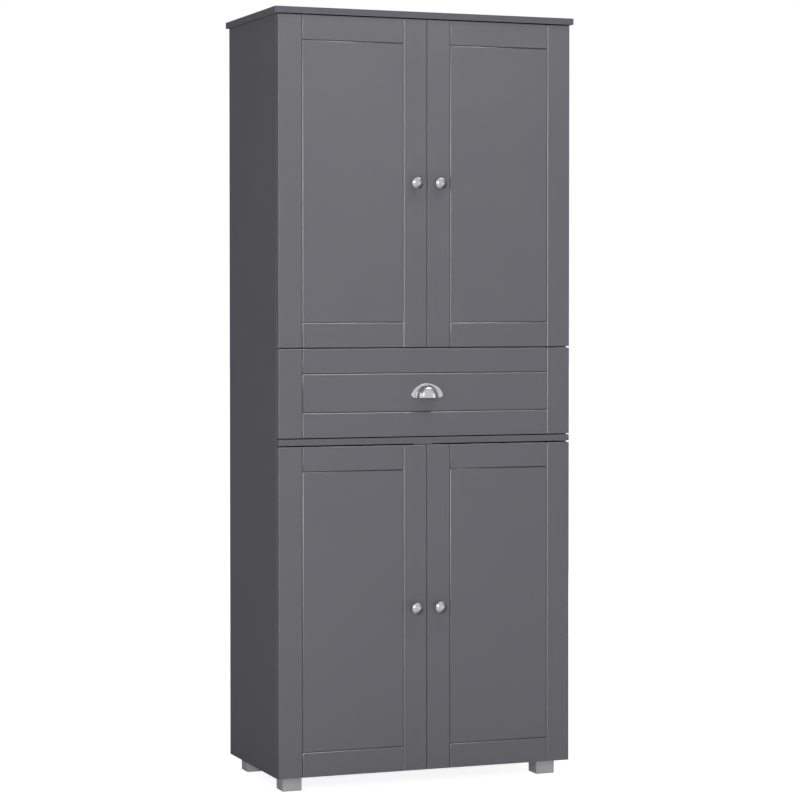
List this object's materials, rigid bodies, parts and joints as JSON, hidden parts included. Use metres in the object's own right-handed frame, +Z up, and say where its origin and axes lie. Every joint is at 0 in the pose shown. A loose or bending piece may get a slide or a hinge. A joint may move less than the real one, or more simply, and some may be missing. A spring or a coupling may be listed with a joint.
{
  "type": "pantry cabinet",
  "caption": "Tall free-standing pantry cabinet: grooved double doors above and below a full-width drawer, round knobs, a cup pull and square block feet.",
  "frame": {"origin": "on the floor, in the middle of the cabinet's footprint with its knobs and pull included", "axes": "+X to the cabinet's right as seen from the front, +Y from the fronts to the back, +Z up"},
  "size_m": [0.76, 0.412, 1.84],
  "materials": {
    "painted_board": "satin grey paint on board",
    "hardboard": "matt grey printed hardboard",
    "brushed_nickel": "brushed nickel",
    "foot_silver": "satin silver-grey plastic",
    "hinge_steel": "nickel-plated pressed steel",
    "runner_steel": "zinc-plated rolled steel",
    "catch_plastic": "off-white moulded plastic",
    "pin_plastic": "pale grey moulded plastic"
  },
  "bodies": {
    "carcass": {"side_panel_left": "painted_board", "side_panel_right": "painted_board", "top_board": "painted_board", "bottom_board": "painted_board", "divider_shelf": "painted_board", "drawer_deck": "painted_board", "upper_back_panel": "hardboard", "lower_back_panel": "hardboard", "upper_shelf": "painted_board", "lower_shelf": "painted_board", "wall_bracket": "hinge_steel", "upper_door_catch": "catch_plastic", "lower_door_catch": "catch_plastic", "foot_front_left": "foot_silver", "foot_front_right": "foot_silver", "foot_back_left": "foot_silver", "foot_back_right": "foot_silver", "cabinet_runner_left": "runner_steel", "cabinet_runner_right": "runner_steel", "hinge_arm_upper_left_lower": "hinge_steel", "hinge_arm_upper_left_upper": "hinge_steel", "hinge_arm_upper_right_lower": "hinge_steel", "hinge_arm_upper_right_upper": "hinge_steel", "hinge_arm_lower_left_lower": "hinge_steel", "hinge_arm_lower_left_upper": "hinge_steel", "hinge_arm_lower_right_lower": "hinge_steel", "hinge_arm_lower_right_upper": "hinge_steel", "shelf_pin_upper_front_left": "pin_plastic", "shelf_pin_upper_front_right": "pin_plastic", "shelf_pin_upper_back_left": "pin_plastic", "shelf_pin_upper_back_right": "pin_plastic", "shelf_pin_lower_front_left": "pin_plastic", "shelf_pin_lower_front_right": "pin_plastic", "shelf_pin_lower_back_left": "pin_plastic", "shelf_pin_lower_back_right": "pin_plastic"},
    "upper_left_door": {"door_upper_left": "painted_board", "knob_upper_left": "brushed_nickel", "hinge_cup_upper_left_lower": "hinge_steel", "hinge_cup_upper_left_upper": "hinge_steel"},
    "upper_right_door": {"door_upper_right": "painted_board", "knob_upper_right": "brushed_nickel", "hinge_cup_upper_right_lower": "hinge_steel", "hinge_cup_upper_right_upper": "hinge_steel"},
    "lower_left_door": {"door_lower_left": "painted_board", "knob_lower_left": "brushed_nickel", "hinge_cup_lower_left_lower": "hinge_steel", "hinge_cup_lower_left_upper": "hinge_steel"},
    "lower_right_door": {"door_lower_right": "painted_board", "knob_lower_right": "brushed_nickel", "hinge_cup_lower_right_lower": "hinge_steel", "hinge_cup_lower_right_upper": "hinge_steel"},
    "drawer": {"drawer_front": "painted_board", "drawer_side_left": "painted_board", "drawer_side_right": "painted_board", "drawer_back": "painted_board", "drawer_bottom": "hardboard", "drawer_runner_left": "runner_steel", "drawer_runner_right": "runner_steel", "cup_pull": "brushed_nickel"}
  },
  "joints": [
    {"name": "upper_left_door_hinge", "type": "hinge", "parent": "carcass", "child": "upper_left_door", "pos_m": [-0.366, -0.176, 1.4345], "axis": [0, 0, -1], "range_deg": [0, 110]},
    {"name": "upper_right_door_hinge", "type": "hinge", "parent": "carcass", "child": "upper_right_door", "pos_m": [0.366, -0.176, 1.4345], "axis": [0, 0, 1], "range_deg": [0, 110]},
    {"name": "lower_left_door_hinge", "type": "hinge", "parent": "carcass", "child": "lower_left_door", "pos_m": [-0.366, -0.176, 0.4255], "axis": [0, 0, -1], "range_deg": [0, 110]},
    {"name": "lower_right_door_hinge", "type": "hinge", "parent": "carcass", "child": "lower_right_door", "pos_m": [0.366, -0.176, 0.4255], "axis": [0, 0, 1], "range_deg": [0, 110]},
    {"name": "drawer_slide", "type": "slide", "parent": "carcass", "child": "drawer", "axis": [0, -1, 0], "range_m": [0, 0.25]}
  ]
}
